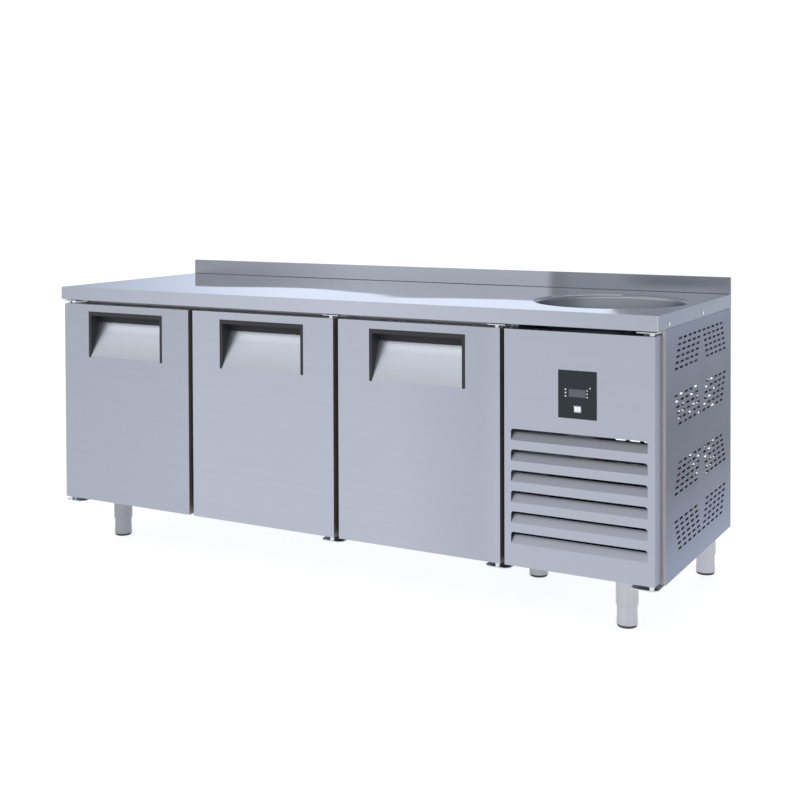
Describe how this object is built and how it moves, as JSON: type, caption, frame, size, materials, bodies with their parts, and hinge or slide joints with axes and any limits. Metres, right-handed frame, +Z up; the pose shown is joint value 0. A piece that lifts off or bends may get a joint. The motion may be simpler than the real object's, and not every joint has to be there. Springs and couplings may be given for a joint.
{
  "type": "reach in refrigerator",
  "caption": "Refrigerated counter with hinged doors, a round sink in the worktop and a machine compartment behind a louvred service door.",
  "frame": {"origin": "on the floor, under the middle of the counter", "axes": "+X to the right along the front, +Y towards the back, +Z up"},
  "size_m": [1.9932, 0.7, 0.88],
  "materials": {
    "worktop_steel": "fine brushed stainless steel, almost mirror bright",
    "bowl_steel": "deep-drawn stainless steel, satin",
    "door_steel": "brushed stainless steel, horizontal grain",
    "side_steel": "brushed stainless steel, horizontal grain",
    "frame_steel": "brushed stainless steel",
    "liner_steel": "satin stainless steel",
    "hinge_steel": "pressed stainless steel",
    "foot_steel": "brushed stainless tube over a black rubber pad",
    "screw_steel": "bright pan-head screws",
    "galvanised_steel": "galvanised sheet",
    "coated_wire": "bright coated wire",
    "chromed_brass": "chromed waste fitting with a rubber washer",
    "foam": "rigid polyurethane foam",
    "gasket_rubber": "dark flexible magnetic seal",
    "handle_plastic": "fine-grained black plastic",
    "black_plastic": "black plastic",
    "fan_plastic": "black moulded plastic",
    "control_plastic": "dark glossy plastic",
    "display_plastic": "smoked window with small pale lamps",
    "lit_plastic": "white lit rocker",
    "key_plastic": "pale soft keys",
    "white_plastic": "white plastic hose",
    "grey_plastic": "grey plastic box",
    "black_enamel": "black enamelled shell on rubber mounts",
    "motor_enamel": "dark enamelled motor on a steel bracket",
    "black_fins": "black coated aluminium fins on copper tubes",
    "fin_aluminium": "plain aluminium fins on copper tubes",
    "copper": "bright copper tube and filter drier"
  },
  "bodies": {
    "cabinet": {"worktop": "worktop_steel", "worktop_stiffeners": "galvanised_steel", "sink_bowl": "bowl_steel", "sink_waste": "chromed_brass", "screws": "screw_steel", "left_panel": "side_steel", "rear_panel": "galvanised_steel", "top_bottom_panels": "galvanised_steel", "right_panel": "side_steel", "partition_panel": "galvanised_steel", "front_frame": "frame_steel", "insulation": "foam", "liner": "liner_steel", "mullions": "frame_steel", "shelf_ladders": "liner_steel", "wire_shelves": "coated_wire", "evaporator_coil": "fin_aluminium", "evaporator_cover": "liner_steel", "condensate_trays": "liner_steel", "drain_pipe": "white_plastic", "machine_base": "galvanised_steel", "compressor": "black_enamel", "condenser_coil": "black_fins", "fan_motors": "motor_enamel", "refrigerant_pipes": "copper", "control_box": "grey_plastic", "cable_gland": "black_plastic", "rear_grille": "galvanised_steel", "hinge_brackets": "hinge_steel", "foot_sockets": "foot_steel", "service_magnet": "black_plastic"},
    "evaporator_fan": {"evaporator_fan": "fan_plastic"},
    "condenser_fan": {"condenser_fan": "fan_plastic"},
    "foot_front_left": {"foot_front_left": "foot_steel"},
    "foot_front_right": {"foot_front_right": "foot_steel"},
    "foot_rear_left": {"foot_rear_left": "foot_steel"},
    "foot_rear_right": {"foot_rear_right": "foot_steel"},
    "foot_middle": {"foot_middle": "foot_steel"},
    "door_1": {"door_1_skin": "door_steel", "door_1_foam": "foam", "door_1_inner_panel": "liner_steel", "door_1_gasket": "gasket_rubber", "door_1_handle": "handle_plastic"},
    "door_2": {"door_2_skin": "door_steel", "door_2_foam": "foam", "door_2_inner_panel": "liner_steel", "door_2_gasket": "gasket_rubber", "door_2_handle": "handle_plastic"},
    "door_3": {"door_3_skin": "door_steel", "door_3_foam": "foam", "door_3_inner_panel": "liner_steel", "door_3_gasket": "gasket_rubber", "door_3_handle": "handle_plastic"},
    "service_door": {"service_door": "door_steel", "control_plate": "control_plastic", "display_window": "display_plastic"},
    "rocker_switch": {"rocker_switch": "lit_plastic"},
    "key_up": {"key_up": "key_plastic"},
    "key_set": {"key_set": "key_plastic"},
    "key_down": {"key_down": "key_plastic"}
  },
  "joints": [
    {"name": "door_1_hinge", "type": "hinge", "parent": "cabinet", "child": "door_1", "pos_m": [-0.971, -0.336, 0.15], "axis": [0, 0, -1], "range_deg": [0, 100], "stiffness_Nm_per_rad": 0.8},
    {"name": "door_2_hinge", "type": "hinge", "parent": "cabinet", "child": "door_2", "pos_m": [0.03, -0.336, 0.15], "axis": [0, 0, 1], "range_deg": [0, 100], "stiffness_Nm_per_rad": 0.8},
    {"name": "door_3_hinge", "type": "hinge", "parent": "cabinet", "child": "door_3", "pos_m": [0.551, -0.336, 0.15], "axis": [0, 0, 1], "range_deg": [0, 100], "stiffness_Nm_per_rad": 0.8},
    {"name": "service_door_hinge", "type": "hinge", "parent": "cabinet", "child": "service_door", "pos_m": [0.975, -0.336, 0.15], "axis": [0, 0, 1], "range_deg": [0, 100]},
    {"name": "rocker_tilt", "type": "hinge", "parent": "service_door", "child": "rocker_switch", "pos_m": [0.7815, -0.343, 0.58], "axis": [1, 0, 0], "range_deg": [-12, 0]},
    {"name": "key_up_press", "type": "slide", "parent": "service_door", "child": "key_up", "axis": [0, 1, 0], "range_m": [0, 0.0006], "stiffness_N_per_m": 200},
    {"name": "key_set_press", "type": "slide", "parent": "service_door", "child": "key_set", "axis": [0, 1, 0], "range_m": [0, 0.0006], "stiffness_N_per_m": 200},
    {"name": "key_down_press", "type": "slide", "parent": "service_door", "child": "key_down", "axis": [0, 1, 0], "range_m": [0, 0.0006], "stiffness_N_per_m": 200},
    {"name": "evaporator_fan_spin", "type": "hinge", "parent": "cabinet", "child": "evaporator_fan", "pos_m": [0.441, 0.015, 0.557], "axis": [1, 0, 0], "continuous": true},
    {"name": "condenser_fan_spin", "type": "hinge", "parent": "cabinet", "child": "condenser_fan", "pos_m": [0.7924, -0.146, 0.278], "axis": [0, 1, 0], "continuous": true},
    {"name": "foot_front_left_screw", "type": "slide", "parent": "cabinet", "child": "foot_front_left", "axis": [0, 0, 1], "range_m": [-0.035, 0]},
    {"name": "foot_front_right_screw", "type": "slide", "parent": "cabinet", "child": "foot_front_right", "axis": [0, 0, 1], "range_m": [-0.035, 0]},
    {"name": "foot_rear_left_screw", "type": "slide", "parent": "cabinet", "child": "foot_rear_left", "axis": [0, 0, 1], "range_m": [-0.035, 0]},
    {"name": "foot_rear_right_screw", "type": "slide", "parent": "cabinet", "child": "foot_rear_right", "axis": [0, 0, 1], "range_m": [-0.035, 0]},
    {"name": "foot_middle_screw", "type": "slide", "parent": "cabinet", "child": "foot_middle", "axis": [0, 0, 1], "range_m": [-0.035, 0]}
  ]
}
